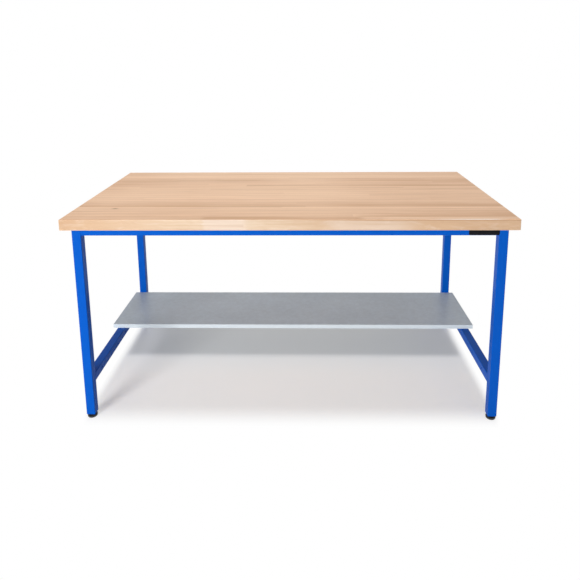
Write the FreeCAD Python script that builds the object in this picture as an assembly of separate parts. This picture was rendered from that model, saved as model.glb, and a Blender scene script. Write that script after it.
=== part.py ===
import FreeCAD, Part
import math
import os

from FreeCAD import Vector

# Assembly table: staved wood top on a welded frame of square steel tube, a
# laminated shelf across the lower side rails, and a levelling foot per leg.
# Millimetres. +X runs along the table, +Y to its back, +Z up; the origin is on
# the floor under the middle of the top, with the feet screwed right in.

# Wood top: staves glued edge to edge, running the length of the table
top_length = 1828.8
top_depth = 914.4
top_thickness = 44.45
table_height = 914.4
stave_count = 24
top_edge_bevel = 1.5

# Frame: one size of square tube throughout
tube_size = 38.1
tube_wall = 1.9
tube_corner = 3.0  # outer corner radius
end_overhang = 25.4  # top past the legs' outer faces
front_overhang = 50.8  # top past the front legs' front faces
rear_overhang = 2.0
side_rail_top = 196.0  # floor to the upper face of a lower side rail
weld_leg = 4.0  # width of a weld bead on each face that it joins

# Holes in the side rails' inner faces, for bolting on a footrest or a stringer
rail_hole_radius = 4.4
rail_hole_inset = 76.2  # from the front leg, and from the rear leg
rail_hole_count = 3

# Clips cut from steel angle and welded inside the rails, to screw the wood down to
clip_leg = 30.0
clip_width = 32.0
clip_thickness = 3.0
long_rail_clip_count = 4
top_clip_inset = 160.0  # from a long rail's end to the last clip
shelf_clip_inset = 110.0  # from the shelf's front and rear edges
clip_hole_radius = 2.9

# Shelf: a board faced with laminate on both sides and banded on four edges
shelf_end_overhang = 20.5  # past the legs' outer faces
shelf_depth = 385.6
shelf_rear_gap = 1.0  # to the rear legs
shelf_core = 18.2
laminate = 0.8
edge_band = 1.0

# Levelling foot: a moulded pad, and a bolt whose head turns captive in it
pad_radius = 21.0
pad_height = 11.0
pad_floor = 4.0  # height of the seat under the bolt's head
swivel_clearance = 0.3
collar_lift = 0.4  # pad to collar
stop_gap = 0.25  # collar to leg, screwed right in
bolt_head_height = 3.2
collar_height = 6.35
hexagon_across_flats = 14.3  # bolt head, collar and nut
thread_radius = 4.7625
thread_clearance = 0.04
thread_spare = 7.0  # thread left above the nut at full travel
foot_travel = 25.4

# Threaded end in each leg: a plate that closes the tube, with a nut welded on it
plate_thickness = 4.0
plate_fit = 0.2
plate_corner = 3.0  # cut off each corner of the plate
nut_height = 8.3

# Places that follow from the sizes above
leg_bottom = pad_height + collar_lift + collar_height + stop_gap
leg_top = table_height - top_thickness
leg_x = top_length / 2 - end_overhang - tube_size / 2
front_y = -top_depth / 2 + front_overhang + tube_size / 2
rear_y = top_depth / 2 - rear_overhang - tube_size / 2
middle_y = (front_y + rear_y) / 2
top_rail_z = leg_top - tube_size / 2
side_rail_z = side_rail_top - tube_size / 2
long_rail = 2 * leg_x - tube_size
short_rail = rear_y - front_y - tube_size
shelf_rear = rear_y - tube_size / 2 - shelf_rear_gap
shelf_y = shelf_rear - shelf_depth / 2
shelf_thickness = shelf_core + 2 * laminate
tube_bore = tube_size - 2 * tube_wall
shelf_length = 2 * (leg_x + tube_size / 2 + shelf_end_overhang)

X = Vector(1, 0, 0)
Y = Vector(0, 1, 0)
Z = Vector(0, 0, 1)
ORIGIN = Vector(0, 0, 0)


def spread(count, half_span):
    """Evenly spaced places from -half_span to half_span."""
    return [half_span * (2 * i / (count - 1) - 1) for i in range(count)]


# Feet of the legs on the floor, and each clip's place: a point on a rail's inner
# face, level with the rail's top, and the way that the clip stands out from it
legs = {
    "front_left": Vector(-leg_x, front_y, 0),
    "front_right": Vector(leg_x, front_y, 0),
    "rear_left": Vector(-leg_x, rear_y, 0),
    "rear_right": Vector(leg_x, rear_y, 0),
}
half_tube = tube_size / 2
top_clips = [
    (Vector(x, y, leg_top), inward)
    for y, inward in ((front_y + half_tube, Y), (rear_y - half_tube, -Y))
    for x in spread(long_rail_clip_count, long_rail / 2 - top_clip_inset)
]
shelf_clips = [
    (Vector(x, shelf_y + y, side_rail_top), inward)
    for x, inward in ((half_tube - leg_x, X), (leg_x - half_tube, -X))
    for y in spread(2, shelf_depth / 2 - shelf_clip_inset)
]


def prism(points, along):
    """Solid with a flat outline, drawn out along a vector."""
    return Part.Face(Part.makePolygon(points + points[:1])).extrude(along)


def rod(radius, height, base):
    return Part.makeCylinder(radius, height, base, Z)


def hexagon(height, base_z):
    """Hexagonal prism on the Z axis, of the bolts' and nuts' one size."""
    corner = Vector(hexagon_across_flats / math.sqrt(3), 0, base_z)
    points = [FreeCAD.Rotation(Z, 60 * step).multVec(corner) for step in range(6)]
    return prism(points, Z * height)


def rounded_square(size, corner):
    """Outline of a square tube in the XY plane, centred on the origin."""
    flat = size / 2 - corner
    mid = flat + corner * math.sqrt(0.5)
    edges = []
    for quarter in range(4):
        turn = FreeCAD.Rotation(Z, 90 * quarter)
        side_start = turn.multVec(Vector(size / 2, -flat, 0))
        side_end = turn.multVec(Vector(size / 2, flat, 0))
        bend_middle = turn.multVec(Vector(mid, mid, 0))
        bend_end = turn.multVec(Vector(flat, size / 2, 0))
        edges.append(Part.makeLine(side_start, side_end))
        edges.append(Part.Arc(side_end, bend_middle, bend_end).toShape())
    return Part.Wire(edges)


def square_tube(centre, axis, length):
    """Hollow square tube of the frame's section, centred on a point."""
    corner = Vector(-tube_bore / 2, -tube_bore / 2, -length / 2)
    tube = Part.Face(rounded_square(tube_size, tube_corner)).extrude(Z * length)
    tube.translate(Z * (-length / 2))
    tube = tube.cut(Part.makeBox(tube_bore, tube_bore, length, corner))
    if axis != Z:
        tube.rotate(ORIGIN, Z.cross(axis), 90)
    tube.translate(centre)
    return tube


def angle_clip(face, inward):
    """Piece of steel angle: one leg on the rail, the other level with its top."""
    along = Z.cross(inward) * clip_width
    start = face - along / 2
    outline = [
        start,
        start + inward * clip_leg,
        start + inward * clip_leg - Z * clip_thickness,
        start + inward * clip_thickness - Z * clip_thickness,
        start + inward * clip_thickness - Z * clip_leg,
        start - Z * clip_leg,
    ]
    screw_line = face + inward * ((clip_leg + clip_thickness) / 2)
    hole = rod(clip_hole_radius, clip_thickness, screw_line - Z * clip_thickness)
    return prism(outline, along).cut(hole)


def weld_bead(corner, along, first, second):
    """Fillet bead centred on a corner, between the faces that run first and second."""
    length = tube_size - 2 * tube_corner
    start = corner - along * (length / 2)
    outline = [start, start + first * weld_leg, start + second * weld_leg]
    return prism(outline, along * length)


def wood_top():
    """The staves, front to back, cut from one block whose outer edges are eased."""
    corner = Vector(-top_length / 2, -top_depth / 2, leg_top)
    block = Part.makeBox(top_length, top_depth, top_thickness, corner)
    block = block.makeChamfer(top_edge_bevel, block.Edges)
    width = top_depth / stave_count
    staves = {}
    for i in range(stave_count):
        slab = Part.makeBox(top_length, width, top_thickness, corner + Y * (width * i))
        staves[f"top_stave_{i + 1:02d}"] = block.common(slab)
    return staves


def frame_tubes():
    """Legs, top rails and lower side rails."""
    tubes = {}
    for name, foot in legs.items():
        middle = foot + Z * ((leg_bottom + leg_top) / 2)
        tubes[f"leg_{name}"] = square_tube(middle, Z, leg_top - leg_bottom)
    for name, y in (("front", front_y), ("rear", rear_y)):
        tubes[f"{name}_top_rail"] = square_tube(Vector(0, y, top_rail_z), X, long_rail)
    for name, x in (("left_end_rail", -leg_x), ("cross_rail", 0), ("right_end_rail", leg_x)):
        tubes[name] = square_tube(Vector(x, middle_y, top_rail_z), Y, short_rail)
    for name, side in (("left", -1), ("right", 1)):
        rail = square_tube(Vector(side * leg_x, middle_y, side_rail_z), Y, short_rail)
        inward = X * -side
        for y in spread(rail_hole_count, short_rail / 2 - rail_hole_inset):
            centre = Vector(side * leg_x, middle_y + y, side_rail_z)
            hole = Part.makeCylinder(rail_hole_radius, tube_size, centre, inward)
            rail = rail.cut(hole)
        tubes[f"{name}_side_rail"] = rail
    return tubes


def frame_welds():
    """Beads in the frame's inner corners; the faces in view are ground flush."""
    top_beads = []
    side_beads = []
    for foot in legs.values():
        inward_x = X if foot.x < 0 else -X
        inward_y = Y if foot.y < middle_y else -Y
        under_top_rails = foot + Z * (leg_top - tube_size)
        under_side_rail = foot + Z * (side_rail_top - tube_size)
        top_beads.append(weld_bead(under_top_rails + inward_x * half_tube, Y, inward_x, -Z))
        top_beads.append(weld_bead(under_top_rails + inward_y * half_tube, X, inward_y, -Z))
        side_beads.append(weld_bead(under_side_rail + inward_y * half_tube, X, inward_y, -Z))
    for y, inward_y in ((front_y + half_tube, Y), (rear_y - half_tube, -Y)):
        for side in (X, -X):
            place = Vector(0, y, top_rail_z) + side * half_tube
            top_beads.append(weld_bead(place, Z, side, inward_y))
    return {"top_rail_welds": top_beads, "side_rail_welds": side_beads}


def shelf():
    """Core board, laminate on both faces, and a band on each edge."""
    base = side_rail_top
    core_length = shelf_length - 2 * edge_band
    core_depth = shelf_depth - 2 * edge_band

    def slab(length, depth, height, x, y, z):
        corner = Vector(x - length / 2, y - depth / 2, z)
        return Part.makeBox(length, depth, height, corner)

    long_y = (shelf_depth - edge_band) / 2
    end_x = (shelf_length - edge_band) / 2
    pieces = {
        "shelf_core": slab(core_length, core_depth, shelf_core, 0, shelf_y, base + laminate),
        "shelf_backing_sheet": slab(core_length, core_depth, laminate, 0, shelf_y, base),
        "shelf_top_laminate": slab(
            core_length, core_depth, laminate, 0, shelf_y, base + laminate + shelf_core
        ),
    }
    for name, y in (("front", shelf_y - long_y), ("rear", shelf_y + long_y)):
        pieces[f"shelf_{name}_edge_band"] = slab(
            shelf_length, edge_band, shelf_thickness, 0, y, base
        )
    for name, x in (("left", -end_x), ("right", end_x)):
        pieces[f"shelf_{name}_edge_band"] = slab(
            edge_band, core_depth, shelf_thickness, x, shelf_y, base
        )
    return pieces


def leg_threaded_ends():
    """Plate flush with each leg's lower end, and the foot's nut welded on it."""
    reach = tube_bore / 2 - plate_fit
    flat = reach - plate_corner
    outline = []
    for quarter in range(4):
        turn = FreeCAD.Rotation(Z, 90 * quarter)
        outline += [turn.multVec(Vector(reach, y, leg_bottom)) for y in (-flat, flat)]
    plate = prism(outline, Z * plate_thickness)
    nut = hexagon(nut_height, leg_bottom + plate_thickness)
    thread = rod(thread_radius + thread_clearance, plate_thickness + nut_height, Z * leg_bottom)
    end = plate.fuse(nut).cut(thread)
    return {"leg_threaded_ends": [end.translated(foot) for foot in legs.values()]}


def foot_pad():
    """Moulded pad with an undercut pocket, where the bolt's head is captive."""
    throat = thread_radius + swivel_clearance
    pocket = hexagon_across_flats / math.sqrt(3) + swivel_clearance
    pocket_top = pad_floor + bolt_head_height + swivel_clearance
    profile = [
        ORIGIN,
        Vector(pad_radius, 0, 0),
        Vector(pad_radius, 0, pad_height),
        Vector(throat, 0, pad_height),
        Vector(throat, 0, pocket_top),
        Vector(pocket, 0, pocket_top),
        Vector(pocket, 0, pad_floor),
        Vector(0, 0, pad_floor),
        ORIGIN,
    ]
    return Part.Face(Part.makePolygon(profile)).revolve(ORIGIN, Z, 360)


def foot_bolt():
    """Levelling bolt: head captive in the pad, hexagonal collar for a spanner, thread."""
    collar_base = pad_height + collar_lift
    thread_reach = plate_thickness + nut_height + foot_travel + thread_spare
    shank = rod(thread_radius, leg_bottom + thread_reach - pad_floor, Z * pad_floor)
    head = hexagon(bolt_head_height, pad_floor)
    collar = hexagon(collar_height, collar_base)
    return shank.fuse([head, collar])


def feet():
    pieces = {}
    for name, foot in legs.items():
        pieces[f"foot_pad_{name}"] = foot_pad().translated(foot)
        pieces[f"foot_bolt_{name}"] = foot_bolt().translated(foot)
    return pieces


def clips():
    """Clips under the top and under the shelf."""
    return {
        "top_clips": [angle_clip(*place) for place in top_clips],
        "shelf_clips": [angle_clip(*place) for place in shelf_clips],
    }


os.makedirs("parts", exist_ok=True)
table = {}
groups = [wood_top(), frame_tubes(), frame_welds(), clips(), leg_threaded_ends(), shelf(), feet()]
for group in groups:
    table.update(group)
for name, shape in table.items():
    if isinstance(shape, list):
        shape = Part.makeCompound(shape)
    shape.exportStep(f"parts/{name}.step")
print(len(table), "nodes")
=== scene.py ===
import math

import bmesh
import bpy
from mathutils import Matrix, Vector


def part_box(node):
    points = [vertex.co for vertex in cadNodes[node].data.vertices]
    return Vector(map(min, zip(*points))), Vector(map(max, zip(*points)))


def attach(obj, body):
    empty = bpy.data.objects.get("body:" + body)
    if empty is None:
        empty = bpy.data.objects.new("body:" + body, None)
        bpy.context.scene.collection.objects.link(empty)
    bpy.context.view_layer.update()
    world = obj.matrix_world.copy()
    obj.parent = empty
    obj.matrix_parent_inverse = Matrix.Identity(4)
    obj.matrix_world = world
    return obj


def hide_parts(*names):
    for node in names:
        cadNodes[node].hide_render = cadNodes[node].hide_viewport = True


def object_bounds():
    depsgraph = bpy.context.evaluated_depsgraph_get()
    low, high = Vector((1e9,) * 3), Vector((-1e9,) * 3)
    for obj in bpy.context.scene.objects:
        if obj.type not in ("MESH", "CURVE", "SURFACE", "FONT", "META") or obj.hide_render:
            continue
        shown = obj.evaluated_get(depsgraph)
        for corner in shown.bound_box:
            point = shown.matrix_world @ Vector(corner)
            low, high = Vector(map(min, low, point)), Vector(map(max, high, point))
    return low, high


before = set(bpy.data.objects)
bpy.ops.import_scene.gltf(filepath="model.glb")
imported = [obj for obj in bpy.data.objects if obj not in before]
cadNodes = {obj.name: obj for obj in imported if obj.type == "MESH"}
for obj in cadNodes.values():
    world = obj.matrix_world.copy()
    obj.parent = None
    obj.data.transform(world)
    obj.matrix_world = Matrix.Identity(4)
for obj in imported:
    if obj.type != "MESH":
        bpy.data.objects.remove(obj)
cadBox = [list(corner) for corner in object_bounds()]
footNames = ("front_left", "front_right", "rear_left", "rear_right")
print("frame loaded:", len(cadNodes), "nodes")


# Helpers for node trees and meshes

mergeDistance = 1e-6  # vertices this near to each other are one
touching = 1e-5  # as near as this to a plane or a rim is on it


def addNode(tree, kind, inputs=None, **settings):
    made = tree.nodes.new("ShaderNode" + kind)
    for name, value in settings.items():
        setattr(made, name, value)
    for name, value in (inputs or {}).items():
        socket = made.inputs[name]
        if isinstance(value, bpy.types.NodeSocket):
            tree.links.new(value, socket)
        else:
            socket.default_value = value
    return made.outputs[0]


def maths(tree, operation, first, second=0.0, third=0.0):
    inputs = {0: first, 1: second, 2: third}
    return addNode(tree, "Math", inputs, operation=operation)


def vectorMaths(tree, operation, first, second=(0, 0, 0)):
    return addNode(tree, "VectorMath", {0: first, 1: second}, operation=operation)


def lengthOf(tree, vector):
    return vectorMaths(tree, "LENGTH", vector).node.outputs["Value"]


def smoothRange(tree, value, start=0.0, end=1.0, low=0.0, high=1.0):
    inputs = {"Value": value, "From Min": start, "From Max": end, "To Min": low, "To Max": high}
    return addNode(tree, "MapRange", inputs, interpolation_type="SMOOTHSTEP")


def ramp(tree, factor, stops):
    output = addNode(tree, "ValToRGB", {"Fac": factor})
    elements = output.node.color_ramp.elements
    elements[0].position, elements[0].color = stops[0]
    elements[1].position, elements[1].color = stops[-1]
    for position, colour in stops[1:-1]:
        elements.new(position).color = colour
    return output


def greyRamp(tree, factor, stops):
    return ramp(tree, factor, [(position, (level, level, level, 1)) for position, level in stops])


def mixColour(tree, factor, first, second):
    output = addNode(tree, "Mix", data_type="RGBA", blend_type="MIX")
    mixer = output.node
    for index, value in ((0, factor), (6, first), (7, second)):
        if isinstance(value, bpy.types.NodeSocket):
            tree.links.new(value, mixer.inputs[index])
        else:
            mixer.inputs[index].default_value = value
    return mixer.outputs[2]


def newMaterial(name, shaderValues):
    material = bpy.data.materials.new(name)
    material.use_nodes = True
    tree = material.node_tree
    shader = tree.nodes["Principled BSDF"]
    for socketName, value in shaderValues.items():
        shader.inputs[socketName].default_value = value
    coordinates = addNode(tree, "TexCoord").node.outputs["Object"]
    return material, tree, shader, coordinates


def stretched(tree, coordinates, scale):
    return addNode(tree, "Mapping", {"Vector": coordinates, "Scale": scale})


def noise(tree, vector, scale, detail, roughness, distortion=0.0):
    values = {"Vector": vector, "Scale": scale, "Detail": detail}
    values.update({"Roughness": roughness, "Distortion": distortion})
    return addNode(tree, "TexNoise", values)


def bumped(tree, shader, height, distance, strength):
    values = {"Height": height, "Distance": distance, "Strength": strength}
    normal = addNode(tree, "Bump", values)
    tree.links.new(normal, shader.inputs["Normal"])


def variedGloss(tree, shader, pattern, spread, lowest):
    gloss = maths(tree, "MULTIPLY_ADD", pattern, spread, lowest)
    tree.links.new(gloss, shader.inputs["Roughness"])


def dressed(name, mesh, material, body):
    piece = bpy.data.objects.new(name, mesh)
    bpy.context.collection.objects.link(piece)
    mesh.materials.clear()
    mesh.materials.append(material)
    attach(piece, body)
    return piece


def finishedMesh(name, shape, smoothAngle=35):
    bmesh.ops.recalc_face_normals(shape, faces=shape.faces)
    mesh = bpy.data.meshes.new(name)
    shape.to_mesh(mesh)
    shape.free()
    mesh.shade_smooth()
    mesh.set_sharp_from_angle(angle=math.radians(smoothAngle))
    return mesh


def placed(shape, verts, matrix):
    bmesh.ops.transform(shape, matrix=matrix, verts=verts)


def bevelled(shape, edges, width, segments):
    bmesh.ops.bevel(shape, geom=edges, offset=width, offset_type="OFFSET", affect="EDGES",
                    segments=segments, profile=0.5, material=-1)


def edgesOf(verts):
    return list(dict.fromkeys(edge for vert in verts for edge in vert.link_edges))


def spunProfile(shape, points, steps):
    verts = [shape.verts.new(point) for point in points]
    edges = [shape.edges.new(pair) for pair in zip(verts, verts[1:])]
    bmesh.ops.spin(shape, geom=verts + edges, cent=(0, 0, 0), axis=(0, 0, 1), angle=math.tau,
                   steps=steps, use_merge=True)


# Wood: light maple staves, each with its own tone and grain

wood = {
    "paleColour": (0.90, 0.615, 0.41, 1),
    "middleColour": (0.81, 0.527, 0.34, 1),
    "deepColour": (0.63, 0.37, 0.21, 1),
    "toneStops": (0.3, 0.56, 0.9),  # tones at which the three colours above lie
    # Fibre colour, also used for the painted shade line below the front arris
    "fibreAndShadeColour": (0.50, 0.30, 0.18, 1),
    "edgeColour": (0.69, 0.52, 0.365, 1),
    # Sap colour, also used for the painted highlight along the front arris
    "sapAndGlintColour": (1.0, 0.94, 0.86, 1),
    "creamColour": (1.0, 0.93, 0.77, 1),
    "endColour": (0.52, 0.31, 0.17, 1),
    "knotColour": (0.27, 0.14, 0.065, 1),
    "glueColour": (0.42, 0.26, 0.15, 1),
    "glueHalfWidth": 0.0002,
    "glueStrength": 0.6,
    # Noise patterns: stretch along x, y and z, detail, roughness, distortion
    "patterns": {
        "cloud": ((1.6, 2.2, 2.2), 1, 0.5, 0.0),
        "broad": ((1.1, 26, 26), 3, 0.55, 0.6),
        "flecks": ((7, 40, 40), 3, 0.6, 0.5),
        "figure": ((14, 14, 60), 3, 0.6, 0.8),
        "streaks": ((2.2, 170, 170), 4, 0.6, 0.3),
        "rings": ((0.8, 75, 75), 2, 0.5, 0.4),
        "fibres": ((14, 1100, 1100), 2, 0.6, 0.0),
    },
    # How much fibre colour a pattern brings: level and strength
    "grain": {
        "streaks": [(0.5, 0), (0.78, 0.34)],
        "rings": [(0.54, 0), (0.6, 0.3), (0.66, 0)],
        "fibres": [(0.55, 0), (0.8, 0.16)],
    },
    # How much of its tone a stave has from each length, from itself, from the patterns and across its width
    "lengthTone": 0.10,
    "staveTone": 0.14,
    "broadTone": 0.5,
    "cloudTone": 0.5,
    "fleckTone": 0.22,
    "crossTone": 0.16,  # a stave runs paler towards its back
    "toneDrop": 0.1,
    "depthByCloud": (1.2, 0.4),  # how strongly the depths below count: by cloud, everywhere
    # Staves that are deeper or paler than the rest, counted from the front
    "staveDepth": {
        1: 0.10, 2: 0.10, 3: 0.06, 6: 0.22, 7: 0.04, 10: -0.08, 11: -0.10,
        16: 0.10, 17: 0.12, 18: 0.10, 19: 0.30, 20: 0.05, 21: -0.12, 22: -0.10,
    },
    # Lengths that differ from the rest of their staves: first and last stave, start, end, softness, depth
    "lengthDepth": [
        (1, 1, -0.36, 0.32, 0.05, 0.30),
        (1, 1, 0.36, 1.0, 0.05, -0.20),
        (2, 2, 0.25, 1.0, 0.05, 0.16),
        (20, 20, -0.4, 0.1, 0.05, -0.08),
        (7, 9, 0.5, 1.2, 0.2, -0.10),
        (1, 9, -1.1, -0.7, 0.15, -0.10),
        (21, 24, -1.1, -0.65, 0.2, 0.15),
    ],
    "staveReach": 0.4,  # how far a stave's number may be from the one it is compared with
    "lengthJoint": 1.3,  # from one joint in a stave to the next
    "jointShift": 7.0,  # how far the joints of a stave are shifted at most
    "grainShift": (9, 9, 9),  # how far the grain of a length is shifted at most
    "paintedLightMiddle": -0.15,  # painted light falloff: the staves are painted darker away from this lit middle, over the reach below
    "paintedLightReach": (0.2, 1.05),
    "paintedShadeDepth": (-0.06, 0.16),
    "knotPlace": (-0.743, -0.292),
    "knotSize": (0.020, 0.0105, 1 / 60),
    "knotStops": [(0.2, 0.85), (0.55, 0.4), (1.0, 0)],
    "faceDepth": 0.0008,  # how far in from an outer face its own look reaches
    # Front edge, palest at its pale middle: sapwood tone there, with painted shade towards its ends
    "edgeStrength": 0.6,
    "paleMiddle": -0.24,
    "paleReach": 0.68,
    "paleStrength": 0.75,
    # How much of each colour the figure brings to it: level and strength
    "frontFigure": {"sapAndGlintColour": [(0.5, 0), (0.72, 0.35)], "fibreAndShadeColour": [(0.3, 0.14), (0.5, 0)]},
    "lengthBend": 0.05,  # how far the figure bends the ends of the lengths below
    # Lengths of the front edge: colour, start, end, how softly they start and end, strength
    "frontLengths": [
        ("sapAndGlintColour", -0.343, -0.15, 0.014, 0.04, 1.0),
        ("sapAndGlintColour", 0.12, 0.56, 0.09, 0.16, 0.6),
        ("fibreAndShadeColour", -1.1, -0.80, 0.1, 0.11, 0.3),
        ("fibreAndShadeColour", 0.66, 0.88, 0.06, 0.06, 0.13),
    ],
    # A painted shade line below the bevelled front arris and a painted highlight, a pale glint, above it,
    # their lengths given as above
    "bevel": 0.0016,
    "topShare": 0.4,  # of the bevel's depth
    "shadeLineDepth": 0.0048,
    "shadeLineLength": (-0.1, 1.0, 0.5, 0.02, 0.95),
    "glintDepth": 0.008,
    "glintLength": (0.50, 0.87, 0.22, 0.07, 0.9),
    # Growth rings on the ends of the staves, around a heart below each stave
    "endRings": {"Scale": 75, "Distortion": 1.5, "Detail": 2.0, "Detail Scale": 0.3},
    "heartShift": (0.09, -0.065),  # sideways: by stave, everywhere
    "heartDrop": 0.02,
    "endStrength": (0.25, 0.4),  # by ring, everywhere
    "roughness": 0.5,
    "shine": 0.3,
    "glossSpread": 0.14,
    "glossDrop": 0.06,
    "fibreHeight": 0.00012,
    "fibreBump": 0.5,
}


def woodPattern(tree, place, name):
    stretch, detail, roughness, distortion = wood["patterns"][name]
    return noise(tree, stretched(tree, place, stretch), 1.0, detail, roughness, distortion)


def alongMask(tree, place, start, end, startSoft, endSoft, strength=1.0):
    rise = smoothRange(tree, place, start=start, end=start + startSoft, high=strength)
    fall = smoothRange(tree, place, start=end - endSoft, end=end, low=1.0, high=0.0)
    return maths(tree, "MULTIPLY", rise, fall)


def distanceFrom(tree, place, middle):
    return maths(tree, "ABSOLUTE", maths(tree, "SUBTRACT", place, middle))


def staveTone(tree, coordinates, axes, stave, across, staveSeed, lengthSeed, grainPlace):
    deep = 0.0
    for number, depth in wood["staveDepth"].items():
        here = maths(tree, "COMPARE", stave, number - 1, wood["staveReach"])
        deep = maths(tree, "MULTIPLY_ADD", here, depth, deep)
    for first, last, start, end, soft, depth in wood["lengthDepth"]:
        reach = (last - first) / 2 + wood["staveReach"]
        here = maths(tree, "COMPARE", stave, (first + last) / 2 - 1, reach)
        along = alongMask(tree, axes["X"], start, end, soft, soft, depth)
        deep = maths(tree, "MULTIPLY_ADD", here, along, deep)

    cloud = woodPattern(tree, coordinates, "cloud")
    tone = maths(tree, "MULTIPLY", staveSeed, wood["staveTone"])
    tone = maths(tree, "MULTIPLY_ADD", lengthSeed, wood["lengthTone"], tone)
    tone = maths(tree, "MULTIPLY_ADD", woodPattern(tree, grainPlace, "broad"), wood["broadTone"], tone)
    tone = maths(tree, "SUBTRACT", tone, wood["toneDrop"])
    tone = maths(tree, "MULTIPLY_ADD", cloud, wood["cloudTone"], tone)
    tone = maths(tree, "MULTIPLY_ADD", deep, maths(tree, "MULTIPLY_ADD", cloud, *wood["depthByCloud"]), tone)
    fromMiddle = maths(tree, "SUBTRACT", maths(tree, "FRACT", across), 0.5)
    tone = maths(tree, "MULTIPLY_ADD", fromMiddle, -wood["crossTone"], tone)
    flecks = maths(tree, "SUBTRACT", woodPattern(tree, grainPlace, "flecks"), 0.5)
    tone = maths(tree, "MULTIPLY_ADD", flecks, wood["fleckTone"], tone)

    # Painted shade: the tone grows darker away from the lit middle, where the light falls off
    near, far = wood["paintedLightReach"]
    lightest, darkest = wood["paintedShadeDepth"]
    fromPaintedLight = distanceFrom(tree, axes["X"], wood["paintedLightMiddle"])
    paintedFalloff = smoothRange(tree, fromPaintedLight, start=near, end=far, low=lightest, high=darkest)
    return maths(tree, "ADD", tone, paintedFalloff)


def frontEdge(tree, coordinates, axes, colour):
    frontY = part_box("top_stave_01")[0][1]
    onFront = maths(tree, "LESS_THAN", axes["Y"], frontY + wood["faceDepth"])
    edgeMask = maths(tree, "MULTIPLY", onFront, wood["edgeStrength"])
    colour = mixColour(tree, edgeMask, colour, wood["edgeColour"])
    # Paler at the middle and darker towards the ends: partly sapwood tone, partly painted shade
    fromPale = distanceFrom(tree, axes["X"], wood["paleMiddle"])
    pale = smoothRange(tree, fromPale, end=wood["paleReach"], low=wood["paleStrength"], high=0.0)
    colour = mixColour(tree, maths(tree, "MULTIPLY", onFront, pale), colour, wood["creamColour"])
    figure = woodPattern(tree, coordinates, "figure")
    for figureColour, stops in wood["frontFigure"].items():
        figureMask = maths(tree, "MULTIPLY", onFront, greyRamp(tree, figure, stops))
        colour = mixColour(tree, figureMask, colour, wood[figureColour])
    unbent = maths(tree, "SUBTRACT", axes["X"], wood["lengthBend"] / 2)
    bent = maths(tree, "MULTIPLY_ADD", figure, wood["lengthBend"], unbent)
    for lengthColour, *length in wood["frontLengths"]:
        lengthMask = maths(tree, "MULTIPLY", onFront, alongMask(tree, bent, *length))
        colour = mixColour(tree, lengthMask, colour, wood[lengthColour])
    return colour


def frontArris(tree, axes, colour):
    low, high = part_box("top_stave_01")
    fromFront = maths(tree, "SUBTRACT", axes["Y"], low[1])
    fromTop = maths(tree, "SUBTRACT", high[2], axes["Z"])
    onTop = maths(tree, "LESS_THAN", fromTop, wood["bevel"] * wood["topShare"])
    # Painted shade: a darker line on the lower bevel and just below it
    belowTop = maths(tree, "SUBTRACT", maths(tree, "LESS_THAN", fromTop, wood["shadeLineDepth"]), onTop)
    shadeLine = maths(tree, "MULTIPLY", belowTop, maths(tree, "LESS_THAN", fromFront, wood["bevel"]))
    shadeLine = maths(tree, "MULTIPLY", shadeLine, alongMask(tree, axes["X"], *wood["shadeLineLength"]))
    colour = mixColour(tree, shadeLine, colour, wood["fibreAndShadeColour"])
    # Painted highlight: a pale glint on the upper bevel and just behind it
    glintLine = maths(tree, "MULTIPLY", onTop, maths(tree, "LESS_THAN", fromFront, wood["glintDepth"]))
    glintLine = maths(tree, "MULTIPLY", glintLine, alongMask(tree, axes["X"], *wood["glintLength"]))
    return mixColour(tree, glintLine, colour, wood["sapAndGlintColour"])


def endGrain(tree, axes, across, staveSeed, colour):
    low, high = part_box("top_stave_01")
    fromMiddle = maths(tree, "ABSOLUTE", axes["X"])
    onEnd = maths(tree, "GREATER_THAN", fromMiddle, high[0] - wood["faceDepth"])
    sideways = maths(tree, "MULTIPLY", maths(tree, "FRACT", across), high[1] - low[1])
    heart = maths(tree, "MULTIPLY_ADD", staveSeed, *wood["heartShift"])
    ringPlace = addNode(tree, "CombineXYZ", {
        "Y": maths(tree, "ADD", sideways, heart),
        "Z": maths(tree, "SUBTRACT", axes["Z"], low[2] - wood["heartDrop"]),
    })
    rings = addNode(tree, "TexWave", {"Vector": ringPlace, **wood["endRings"]},
                    wave_type="RINGS", rings_direction="X")
    endMask = maths(tree, "MULTIPLY", onEnd, maths(tree, "MULTIPLY_ADD", rings, *wood["endStrength"]))
    return mixColour(tree, endMask, colour, wood["endColour"])


def knotMask(tree, coordinates):
    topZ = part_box("top_stave_01")[1][2]
    fromKnot = vectorMaths(tree, "SUBTRACT", coordinates, (*wood["knotPlace"], topZ))
    reach = stretched(tree, fromKnot, [1 / size for size in wood["knotSize"]])
    return greyRamp(tree, lengthOf(tree, reach), wood["knotStops"])


def glueMask(tree, across, staveWidth):
    offCentre = distanceFrom(tree, maths(tree, "FRACT", across), 0.5)
    toSeam = maths(tree, "MULTIPLY", maths(tree, "SUBTRACT", 0.5, offCentre), staveWidth)
    seam = maths(tree, "LESS_THAN", toSeam, wood["glueHalfWidth"])
    return maths(tree, "MULTIPLY", seam, wood["glueStrength"])


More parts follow.
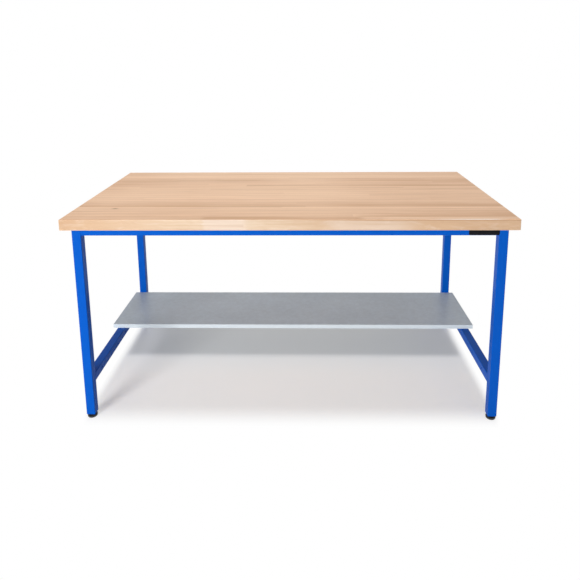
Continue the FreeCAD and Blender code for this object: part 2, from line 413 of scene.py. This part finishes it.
def makeWood():
    shaderValues = {"Roughness": wood["roughness"], "Specular IOR Level": wood["shine"]}
    material, tree, shader, coordinates = newMaterial("hardwood_staves", shaderValues)
    low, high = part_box("top_stave_01")
    staveWidth = high[1] - low[1]
    axes = addNode(tree, "SeparateXYZ", {"Vector": coordinates}).node.outputs
    across = maths(tree, "DIVIDE", maths(tree, "SUBTRACT", axes["Y"], low[1]), staveWidth)
    stave = maths(tree, "FLOOR", across)
    staveSeed = addNode(tree, "TexWhiteNoise", {"W": stave}, noise_dimensions="1D")
    shifted = maths(tree, "MULTIPLY_ADD", staveSeed, wood["jointShift"], axes["X"])
    length = maths(tree, "FLOOR", maths(tree, "DIVIDE", shifted, wood["lengthJoint"]))
    lengthKey = addNode(tree, "CombineXYZ", {"X": stave, "Y": length})
    lengthNoise = addNode(tree, "TexWhiteNoise", {"Vector": lengthKey}, noise_dimensions="2D")
    lengthShift = lengthNoise.node.outputs["Color"]
    lengthSeed = addNode(tree, "SeparateXYZ", {"Vector": lengthShift})
    offset = vectorMaths(tree, "MULTIPLY", lengthShift, wood["grainShift"])
    grainPlace = vectorMaths(tree, "ADD", coordinates, offset)

    tone = staveTone(tree, coordinates, axes, stave, across, staveSeed, lengthSeed, grainPlace)
    toneColours = (wood["paleColour"], wood["middleColour"], wood["deepColour"])
    colour = ramp(tree, tone, list(zip(wood["toneStops"], toneColours)))
    colour = frontEdge(tree, coordinates, axes, colour)
    colour = frontArris(tree, axes, colour)
    colour = endGrain(tree, axes, across, staveSeed, colour)
    grain = {name: woodPattern(tree, grainPlace, name) for name in wood["grain"]}
    for name, stops in wood["grain"].items():
        colour = mixColour(tree, greyRamp(tree, grain[name], stops), colour, wood["fibreAndShadeColour"])
    colour = mixColour(tree, knotMask(tree, coordinates), colour, wood["knotColour"])
    colour = mixColour(tree, glueMask(tree, across, staveWidth), colour, wood["glueColour"])
    tree.links.new(colour, shader.inputs["Base Color"])
    variedGloss(tree, shader, grain["streaks"], wood["glossSpread"], wood["roughness"] - wood["glossDrop"])
    bumped(tree, shader, grain["fibres"], wood["fibreHeight"], wood["fibreBump"])
    return material


# Powder coat: bright blue with a fine orange-peel surface

powderCoat = {
    "colour": (0.0008, 0.085, 0.455, 1),
    "shadeColour": (0.0006, 0.074, 0.41, 1),
    "cloud": (9, 3, 0.6),  # size, detail, roughness
    "peel": (900, 2, 0.5),
    "peelHeight": 0.00006,
    "peelBump": 0.35,
    "roughness": 0.36,
    "shine": 0.06,
    "glossSpread": 0.08,
    "glossDrop": 0.04,
}


def makePowderCoat():
    shaderValues = {"Roughness": powderCoat["roughness"], "Specular IOR Level": powderCoat["shine"]}
    material, tree, shader, coordinates = newMaterial("blue_powder_coat", shaderValues)
    cloud = noise(tree, coordinates, *powderCoat["cloud"])
    colour = mixColour(tree, cloud, powderCoat["shadeColour"], powderCoat["colour"])
    tree.links.new(colour, shader.inputs["Base Color"])
    peel = noise(tree, coordinates, *powderCoat["peel"])
    bumped(tree, shader, peel, powderCoat["peelHeight"], powderCoat["peelBump"])
    lowest = powderCoat["roughness"] - powderCoat["glossDrop"]
    variedGloss(tree, shader, cloud, powderCoat["glossSpread"], lowest)
    return material


# Shelf: satin laminate with a faint mottle, a paler band on each edge, chipboard inside

laminate = {
    # Colour, mottle colour, roughness and how strong the pebbled surface is
    "grey_laminate": ((0.517, 0.602, 0.682, 1), (0.418, 0.483, 0.549, 1), 0.36, 0.3),
    "edge_band": ((0.592, 0.656, 0.70, 1), (0.568, 0.63, 0.672, 1), 0.4, 0.2),
    "backing_sheet": ((0.52, 0.53, 0.53, 1), (0.418, 0.483, 0.549, 1), 0.55, 0.3),
}
laminateLook = {
    "mottle": (40, 4, 0.7),  # size, detail, roughness
    "patchStretch": (2.5, 5, 5),
    "patches": (1.0, 2, 0.5),
    "patchShare": 0.6,
    "mottleRange": (0.5, 1.1),  # levels of mottle and patches at mottle colour and at full colour
    "pebble": (1400, 2, 0.5),
    "pebbleHeight": 0.00005,
    "shine": 0.35,
    "glossSpread": 0.1,
    "glossDrop": 0.05,
}
chipboardLook = {
    "darkColour": (0.36, 0.24, 0.13, 1),
    "paleColour": (0.66, 0.5, 0.32, 1),
    "chipSize": 420.0,
    "chipHeight": 0.0003,
    "chipBump": 0.6,
    "roughness": 0.85,
}


def makeLaminate(name):
    paleColour, mottleColour, roughness, bumpStrength = laminate[name]
    look = laminateLook
    shaderValues = {"Roughness": roughness, "Specular IOR Level": look["shine"]}
    material, tree, shader, coordinates = newMaterial(name, shaderValues)
    mottle = noise(tree, coordinates, *look["mottle"])
    patches = noise(tree, stretched(tree, coordinates, look["patchStretch"]), *look["patches"])
    level = maths(tree, "MULTIPLY_ADD", patches, look["patchShare"], mottle)
    start, end = look["mottleRange"]
    spread = addNode(tree, "MapRange", {"Value": level, "From Min": start, "From Max": end})
    colour = mixColour(tree, spread, mottleColour, paleColour)
    tree.links.new(colour, shader.inputs["Base Color"])
    pebble = noise(tree, coordinates, *look["pebble"])
    bumped(tree, shader, pebble, look["pebbleHeight"], bumpStrength)
    variedGloss(tree, shader, mottle, look["glossSpread"], roughness - look["glossDrop"])
    return material


def makeChipboard():
    look = chipboardLook
    material, tree, shader, coordinates = newMaterial("chipboard", {"Roughness": look["roughness"]})
    chips = addNode(tree, "TexVoronoi", {"Vector": coordinates, "Scale": look["chipSize"]})
    chipTone = addNode(tree, "SeparateXYZ", {"Vector": chips.node.outputs["Color"]})
    colour = ramp(tree, chipTone, [(0.0, look["darkColour"]), (1.0, look["paleColour"])])
    tree.links.new(colour, shader.inputs["Base Color"])
    bumped(tree, shader, chipTone, look["chipHeight"], look["chipBump"])
    return material


# Metal of the bolts and screws, black moulded plastic of the pads and the plate

zincLook = {
    "darkColour": (0.52, 0.53, 0.55, 1),
    "paleColour": (0.68, 0.68, 0.66, 1),
    "patch": (160, 3, 0.6),  # size, detail, roughness
    "patchStops": (0.35, 0.7),
    "roughness": 0.3,
    "glossSpread": 0.2,
    "glossDrop": 0.08,
}
blackPlastic = {
    "darkColour": (0.005, 0.005, 0.006, 1),
    "paleColour": (0.011, 0.011, 0.013, 1),
    "cloud": (120, 3, 0.6),
    "cloudStops": (0.3, 0.7),
    "grain": (2500, 2, 0.5),
    "grainHeight": 0.00003,
    "grainBump": 0.4,
    "glossSpread": 0.1,
    "glossDrop": 0.05,
    # Roughness and shine
    "black_pad": (0.22, 0.5),
    "black_plate": (0.34, 0.05),
}


def makeZinc():
    look = zincLook
    shaderValues = {"Metallic": 1.0, "Roughness": look["roughness"]}
    material, tree, shader, coordinates = newMaterial("zinc_plate", shaderValues)
    patch = noise(tree, coordinates, *look["patch"])
    low, high = look["patchStops"]
    colour = ramp(tree, patch, [(low, look["darkColour"]), (high, look["paleColour"])])
    tree.links.new(colour, shader.inputs["Base Color"])
    variedGloss(tree, shader, patch, look["glossSpread"], look["roughness"] - look["glossDrop"])
    return material


def makeBlackPlastic(name):
    look = blackPlastic
    roughness, shine = look[name]
    shaderValues = {"Roughness": roughness, "Specular IOR Level": shine}
    material, tree, shader, coordinates = newMaterial(name, shaderValues)
    cloud = noise(tree, coordinates, *look["cloud"])
    low, high = look["cloudStops"]
    colour = ramp(tree, cloud, [(low, look["darkColour"]), (high, look["paleColour"])])
    tree.links.new(colour, shader.inputs["Base Color"])
    grain = noise(tree, coordinates, *look["grain"])
    bumped(tree, shader, grain, look["grainHeight"], look["grainBump"])
    variedGloss(tree, shader, cloud, look["glossSpread"], roughness - look["glossDrop"])
    return material


hardwood = makeWood()
bluePaint = makePowderCoat()
shelfGrey = makeLaminate("grey_laminate")
shelfBand = makeLaminate("edge_band")
shelfBack = makeLaminate("backing_sheet")
chipboard = makeChipboard()
zinc = makeZinc()
padBlack = makeBlackPlastic("black_pad")
plateBlack = makeBlackPlastic("black_plate")
print("materials made")

nodeMaterials = {
    "top_stave": hardwood,
    "shelf_core": chipboard,
    "shelf_top_laminate": shelfGrey,
    "shelf_backing_sheet": shelfBack,
    "shelf_front_edge": shelfBand,
    "shelf_rear_edge": shelfBand,
    "shelf_left_edge": shelfBand,
    "shelf_right_edge": shelfBand,
    "foot_pad": padBlack,
    "foot_bolt": zinc,
    "leg_threaded": zinc,
}
for nodeName, piece in cadNodes.items():
    matches = [made for start, made in nodeMaterials.items() if nodeName.startswith(start)]
    piece.data.materials.clear()
    piece.data.materials.append(matches[0] if matches else bluePaint)
print("frame, top and shelf dressed")


# Levelling feet: pad with rounded edges, bolt with a rolled thread

pad = {
    "toe": 0.0040,  # rounding of the lower edge
    "shoulder": 0.0014,  # rounding of the upper edge
    "bevelSegments": 6,
    "spinSteps": 72,
    "pocketRadius": 0.0086,
    "throatRadius": 0.00506,
    "pocketHeight": 0.0035,
}
bolt = {
    "across": 0.0143,  # head and collar, across flats
    "headHeight": 0.0032,
    "seatGap": 0.00005,  # pad's seat to head
    "collarLift": 0.0004,  # pad to collar
    "collarGap": 0.00025,  # collar to leg
    "radius": 0.00476,
    "shankGap": 0.00002,  # plain shank inside the thread's crest
    "overlap": 0.001,  # how far shank and thread run into head and collar
    "tipGap": 0.001,
    "rodSegments": 40,
    "edge": 0.0005,
    "edgeSegments": 2,
}
thread = {
    "pitch": 1 / 16 * 0.0254,
    "depth": 0.00085,
    "flanks": (0.12, 0.5, 0.62),  # shares of the pitch: end of root, start and end of crest
    "turnSteps": 28,
    "coreGap": 0.0001,  # core rod inside the root
    "coreReach": 0.0005,
}


def makePad(name, place, height, radius, floorZ):
    shape = bmesh.new()
    pocketTop = floorZ + pad["pocketHeight"]
    profile = [
        (0, 0), (radius, 0), (radius, height), (pad["throatRadius"], height),
        (pad["throatRadius"], pocketTop), (pad["pocketRadius"], pocketTop),
        (pad["pocketRadius"], floorZ), (0, floorZ),
    ]
    spunProfile(shape, [(x, 0, z) for x, z in profile], pad["spinSteps"])
    bmesh.ops.remove_doubles(shape, verts=shape.verts, dist=mergeDistance)

    def onRim(vert, z):
        outward = math.hypot(vert.co.x, vert.co.y)
        return outward > radius - touching and abs(vert.co.z - z) < touching

    for z, width in ((height, pad["shoulder"]), (0, pad["toe"])):
        rim = [edge for edge in shape.edges if all(onRim(vert, z) for vert in edge.verts)]
        bevelled(shape, rim, width, pad["bevelSegments"])
    placed(shape, shape.verts, Matrix.Translation(place))
    return finishedMesh(name, shape)


def addHexagon(shape, across, lowZ, highZ):
    corner = across / math.sqrt(3)
    made = bmesh.ops.create_cone(shape, cap_ends=True, segments=6, radius1=corner, radius2=corner,
                                 depth=highZ - lowZ)
    lift = Matrix.Translation((0, 0, (lowZ + highZ) / 2))
    placed(shape, made["verts"], lift @ Matrix.Rotation(math.radians(30), 4, "Z"))
    return made["verts"]


def addRod(shape, radius, lowZ, highZ, segments):
    made = bmesh.ops.create_cone(shape, cap_ends=True, segments=segments, radius1=radius,
                                 radius2=radius, depth=highZ - lowZ)
    placed(shape, made["verts"], Matrix.Translation((0, 0, (lowZ + highZ) / 2)))


def addThread(shape, radius, lowZ, highZ):
    before = set(shape.verts)
    pitch = thread["pitch"]
    turns = int((highZ - lowZ) / pitch) - 1
    root = radius - thread["depth"]
    rootEnd, crestStart, crestEnd = [pitch * share for share in thread["flanks"]]
    profile = [(root, 0), (root, rootEnd), (radius, crestStart), (radius, crestEnd), (root, pitch)]
    verts = [shape.verts.new((x, 0, lowZ + z)) for x, z in profile]
    edges = [shape.edges.new(pair) for pair in zip(verts, verts[1:])]
    bmesh.ops.spin(shape, geom=verts + edges, cent=(0, 0, 0), axis=(0, 0, 1), angle=math.tau * turns,
                   steps=thread["turnSteps"] * turns, dvec=(0, 0, pitch / thread["turnSteps"]))
    made = [vert for vert in shape.verts if vert not in before]
    bmesh.ops.remove_doubles(shape, verts=made, dist=mergeDistance)
    bmesh.ops.holes_fill(shape, edges=[edge for edge in shape.edges if edge.is_boundary])
    addRod(shape, root - thread["coreGap"], lowZ - thread["coreReach"], highZ, bolt["rodSegments"])


def makeBolt(name, place, headLow, padTop, legBottom, tipZ):
    shape = bmesh.new()
    collarLow = padTop + bolt["collarLift"]
    collarHigh = legBottom - bolt["collarGap"]
    hexagons = addHexagon(shape, bolt["across"], headLow + bolt["seatGap"], headLow + bolt["headHeight"])
    hexagons += addHexagon(shape, bolt["across"], collarLow, collarHigh)
    bevelled(shape, edgesOf(hexagons), bolt["edge"], bolt["edgeSegments"])
    shankRadius = bolt["radius"] - bolt["shankGap"]
    addRod(shape, shankRadius, headLow + bolt["overlap"], collarHigh, bolt["rodSegments"])
    addThread(shape, bolt["radius"], collarHigh - bolt["overlap"], tipZ - bolt["tipGap"])
    placed(shape, shape.verts, Matrix.Translation(place))
    return finishedMesh(name, shape)


for footName in footNames:
    padNode, boltNode = f"foot_pad_{footName}", f"foot_bolt_{footName}"
    padLow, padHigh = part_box(padNode)
    boltLow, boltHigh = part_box(boltNode)
    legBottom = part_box(f"leg_{footName}")[0][2]
    centre = Vector(((padLow[0] + padHigh[0]) / 2, (padLow[1] + padHigh[1]) / 2, 0))
    padMesh = makePad(f"pad_{footName}", centre, padHigh[2], (padHigh[0] - padLow[0]) / 2, boltLow[2])
    newPad = dressed(f"pad_{footName}", padMesh, padBlack, padNode)
    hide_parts(padNode)
    boltMesh = makeBolt(f"bolt_{footName}", centre, boltLow[2], padHigh[2], legBottom, boltHigh[2])
    newBolt = dressed(f"bolt_{footName}", boltMesh, zinc, boltNode)
    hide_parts(boltNode)
print("feet made")


# Separate solids of a node, each as a list of points from a merged copy

def loosePieces(nodeName):
    shape = bmesh.new()
    shape.from_mesh(cadNodes[nodeName].data)
    bmesh.ops.remove_doubles(shape, verts=shape.verts, dist=mergeDistance)
    seen = set()
    pieces = []
    for start in shape.verts:
        if start in seen:
            continue
        seen.add(start)
        reached = [start]
        for vert in reached:
            near = [edge.other_vert(vert) for edge in vert.link_edges]
            fresh = [other for other in near if other not in seen]
            seen.update(fresh)
            reached.extend(fresh)
        pieces.append([vert.co.copy() for vert in reached])
    shape.free()
    return pieces


def boxOf(points):
    low = Vector([min(point[axis] for point in points) for axis in range(3)])
    high = Vector([max(point[axis] for point in points) for axis in range(3)])
    return low, high


# Hexagon screws with washers under the clips, driven up into the wood

screw = {
    "across": 0.008,  # head, across flats
    "headHeight": 0.004,
    "edge": 0.0004,
    "edgeSegments": 2,
    "washerRadius": 0.0055,
    "washerHeight": 0.0012,
    "washerSegments": 32,
    "shankRadius": 0.0024,
    "shankSegments": 24,
    "clipThickness": 0.003,
    "holeInset": 0.0001,  # a clip's hole is at least this far inside its outline
}


def holeCentre(points, low, high):
    inset = screw["holeInset"]
    onTop = [point for point in points if point.z > high.z - touching]
    rim = []
    for point in onTop:
        if all(low[axis] + inset < point[axis] < high[axis] - inset for axis in (0, 1)):
            rim.append(point)
    return sum(rim, Vector()) / len(rim)


def makeScrews(name, clipNode):
    shape = bmesh.new()
    for points in loosePieces(clipNode):
        low, high = boxOf(points)
        hole = holeCentre(points, low, high)
        underClip = high.z - screw["clipThickness"]
        washerLow = underClip - screw["washerHeight"]
        before = set(shape.verts)
        head = addHexagon(shape, screw["across"], washerLow - screw["headHeight"], washerLow)
        bevelled(shape, edgesOf(head), screw["edge"], screw["edgeSegments"])
        addRod(shape, screw["washerRadius"], washerLow, underClip, screw["washerSegments"])
        addRod(shape, screw["shankRadius"], underClip, high.z, screw["shankSegments"])
        made = [vert for vert in shape.verts if vert not in before]
        placed(shape, made, Matrix.Translation((hole.x, hole.y, 0)))
    return finishedMesh(name, shape)


for name, clipNode in (("top_screws", "top_clips"), ("shelf_screws", "shelf_clips")):
    dressed(name, makeScrews(name, clipNode), zinc, "table")
print("screws made")


# Weld beads: a turned bar of overlapping ripples in each inner corner of the frame

weld = {
    "radius": 0.0026,
    "ripple": 0.0023,
    "rippleDepth": 0.0005,
    "rippleSteps": 4,
    "endPower": 8,  # how blunt the bead's ends are
    "spinSteps": 14,
    "smoothAngle": 60,
}


def beadProfile(length):
    steps = round(length / weld["ripple"]) * weld["rippleSteps"]
    profile = [(0, 0, -length / 2)]
    for step in range(1, steps):
        dip = abs(math.cos(math.pi * step / weld["rippleSteps"]))
        height = length * (step / steps - 0.5)
        ends = math.sqrt(max(0.0, 1 - (2 * height / length) ** weld["endPower"]))
        profile.append(((weld["radius"] - weld["rippleDepth"] * dip ** 2) * ends, 0, height))
    return profile + [(0, 0, length / 2)]


def makeWelds(name, weldNode):
    shape = bmesh.new()
    for points in loosePieces(weldNode):
        low, high = boxOf(points)
        size = high - low
        along = max(range(3), key=lambda axis: size[axis])
        before = set(shape.verts)
        spunProfile(shape, beadProfile(size[along]), weld["spinSteps"])
        made = [vert for vert in shape.verts if vert not in before]
        turn = Vector((0, 0, 1)).rotation_difference(Vector([axis == along for axis in range(3)]))
        centre = sum(points, Vector()) / len(points)
        placed(shape, made, Matrix.Translation(centre) @ turn.to_matrix().to_4x4())
    bmesh.ops.remove_doubles(shape, verts=shape.verts, dist=mergeDistance)
    return finishedMesh(name, shape, weld["smoothAngle"])


for name, weldNode in (("top_beads", "top_rail_welds"), ("side_beads", "side_rail_welds")):
    beads = dressed(name, makeWelds(name, weldNode), bluePaint, "table")
    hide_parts(weldNode)
print("weld beads made")


# Bare plate on the front rail beside the right leg

plate = {
    "length": 0.1234,
    "height": 0.0345,
    "thickness": 0.0009,
    "cornerRadius": 0.006,
    "cornerSegments": 8,
    "rightEdge": 0.8519,  # at the right front leg
    "edge": 0.0003,
    "edgeSegments": 3,
}


def makePlate():
    railLow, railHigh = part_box("front_top_rail")
    middle = (plate["rightEdge"] - plate["length"] / 2, railLow[1] - plate["thickness"] / 2,
              (railLow[2] + railHigh[2]) / 2)
    shape = bmesh.new()
    bmesh.ops.create_cube(shape, size=1)
    placed(shape, shape.verts, Matrix.Diagonal((plate["length"], plate["thickness"], plate["height"], 1)))
    across = [edge for edge in shape.edges if abs(edge.verts[0].co.y - edge.verts[1].co.y) > touching]
    bevelled(shape, across, plate["cornerRadius"], plate["cornerSegments"])
    frontY = min(vert.co.y for vert in shape.verts)
    rim = [edge for edge in shape.edges if all(vert.co.y < frontY + touching for vert in edge.verts)]
    bevelled(shape, rim, plate["edge"], plate["edgeSegments"])
    placed(shape, shape.verts, Matrix.Translation(middle))
    return finishedMesh("bare_plate", shape)


dressed("bare_plate", makePlate(), plateBlack, "table")
print("plate made")


# Camera

cameraSet = {
    "place": (0.0665, -2.5209, 1.5382),
    "yaw": -1.094,
    "pitchDown": 10.544,
    "roll": -0.387,
    "sensor": 36,
    "lens": 33.743,
    "shiftX": -0.0077,
    "shiftY": -0.2242,
}


def makeCamera():
    lens = bpy.data.cameras.new("camera")
    lens.sensor_width = cameraSet["sensor"]
    lens.lens = cameraSet["lens"]
    lens.shift_x = cameraSet["shiftX"]
    lens.shift_y = cameraSet["shiftY"]
    camera = bpy.data.objects.new("camera", lens)
    bpy.context.collection.objects.link(camera)
    turn = Matrix.Rotation(math.radians(-cameraSet["yaw"]), 4, "Z")
    tilt = Matrix.Rotation(math.radians(90 - cameraSet["pitchDown"]), 4, "X")
    roll = Matrix.Rotation(math.radians(cameraSet["roll"]), 4, "Z")
    camera.matrix_world = Matrix.Translation(cameraSet["place"]) @ turn @ tilt @ roll
    bpy.context.scene.camera = camera


makeCamera()


# Studio: pale floor that keeps the table's shadow, with a painted shadow under the shelf, soft lamps

studio = {
    "floorRadius": 40.0,
    "floorSegments": 96,
    "floorColour": (0.86, 0.86, 0.86, 1),
    "floorGlow": 0.235,
    "white": (1, 1, 1, 1),
    "black": (0, 0, 0, 1),
    # Borders, set in from a box at its sides, front and back, and how softly the floor changes past them.
    # Past the fade, set in from the table's box, the floor is white. Within the painted shadow, set in from
    # the shelf's box, the floor has no glow, which paints a shadow on the floor under the shelf.
    "fade": {"side": 0.045, "front": 0.155, "back": 0.0, "sideWidth": 0.05, "frontWidth": 0.165},
    "paintedShadow": {"side": 0.06, "front": 0.115, "back": -0.12, "sideWidth": 0.06, "frontWidth": 0.07},
    "worldStrength": 0.31,
}
lamps = {
    "key": {"place": (-3.2, -6.0, 1.75), "aim": (-0.1, -0.4, 0.6), "size": 2.6, "power": 432, "glare": False},
    "rear": {"place": (-1.2, 4.6, 1.2), "aim": (0, 0.3, 0.5), "size": 1.6, "power": 56, "glare": False},
    "overhead": {"place": (-0.4, 0, 6.0), "aim": (0, 0, 0.9), "size": 0.9, "power": 121, "glare": True},
}


def seenRays(tree):
    rays = addNode(tree, "LightPath").node.outputs
    seen = maths(tree, "MAXIMUM", rays["Is Camera Ray"], rays["Is Glossy Ray"])
    return maths(tree, "MAXIMUM", seen, rays["Is Transmission Ray"])


def pastBorder(tree, coordinates, low, high, border):
    start = (low[0] + border["side"], low[1] + border["front"])
    end = (high[0] - border["side"], high[1] - border["back"])
    middle = [(first + last) / 2 for first, last in zip(start, end)]
    reach = [(last - first) / 2 for first, last in zip(start, end)]
    past = vectorMaths(tree, "SUBTRACT", coordinates, (*middle, 0))
    past = vectorMaths(tree, "ABSOLUTE", past)
    past = vectorMaths(tree, "SUBTRACT", past, (*reach, 0))
    past = vectorMaths(tree, "MAXIMUM", past)
    past = vectorMaths(tree, "DIVIDE", past, (border["sideWidth"], border["frontWidth"], 1))
    return smoothRange(tree, lengthOf(tree, past))


def makeFloorMaterial():
    shaderValues = {"Base Color": studio["floorColour"], "Roughness": 1.0, "Specular IOR Level": 0}
    material, tree, shader, coordinates = newMaterial("white_floor", shaderValues)
    seen = seenRays(tree)
    # Painted shadow: the floor loses its glow under the shelf
    pastShelfShadow = pastBorder(tree, coordinates, *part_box("shelf_core"), studio["paintedShadow"])
    glowLevel = maths(tree, "MULTIPLY", pastShelfShadow, studio["floorGlow"])
    glow = addNode(tree, "Emission", {"Color": studio["white"], "Strength": glowLevel})
    dark = addNode(tree, "Emission", {"Color": studio["black"], "Strength": 0.0})
    seenGlow = addNode(tree, "MixShader", {0: seen, 1: dark, 2: glow})
    lit = addNode(tree, "AddShader", {0: shader.outputs[0], 1: seenGlow})
    white = addNode(tree, "Emission", {"Color": studio["white"], "Strength": 1.0})
    seenFade = maths(tree, "MULTIPLY", pastBorder(tree, coordinates, *cadBox, studio["fade"]), seen)
    fromAbove = addNode(tree, "MixShader", {0: seenFade, 1: lit, 2: white})
    clear = addNode(tree, "BsdfTransparent")
    below = addNode(tree, "NewGeometry").node.outputs["Backfacing"]
    surface = addNode(tree, "MixShader", {0: below, 1: fromAbove, 2: clear})
    tree.links.new(surface, tree.nodes["Material Output"].inputs["Surface"])
    return material


def makeFloor():
    shape = bmesh.new()
    bmesh.ops.create_circle(shape, cap_ends=True, segments=studio["floorSegments"],
                            radius=studio["floorRadius"])
    mesh = bpy.data.meshes.new("floor")
    shape.to_mesh(mesh)
    shape.free()
    mesh.materials.append(makeFloorMaterial())
    floor = bpy.data.objects.new("floor", mesh)
    bpy.context.collection.objects.link(floor)


def makeWorld():
    world = bpy.data.worlds.new("studio")
    bpy.context.scene.world = world
    world.use_nodes = True
    tree = world.node_tree
    strength = studio["worldStrength"]
    level = maths(tree, "MULTIPLY_ADD", seenRays(tree), 1 - strength, strength)
    back = tree.nodes["Background"]
    back.inputs["Color"].default_value = studio["white"]
    tree.links.new(level, back.inputs["Strength"])


def makeLamps():
    for name, lamp in lamps.items():
        light = bpy.data.lights.new(name, "AREA")
        light.shape = "DISK"
        light.size = lamp["size"]
        light.energy = lamp["power"]
        holder = bpy.data.objects.new(name, light)
        bpy.context.collection.objects.link(holder)
        holder.visible_glossy = lamp["glare"]
        aim = Vector(lamp["aim"]) - Vector(lamp["place"])
        holder.location = lamp["place"]
        holder.rotation_euler = aim.to_track_quat("-Z", "Y").to_euler()


makeFloor()
makeWorld()
makeLamps()
bpy.context.scene.view_settings.view_transform = "Standard"
print("camera, floor and lamps placed")
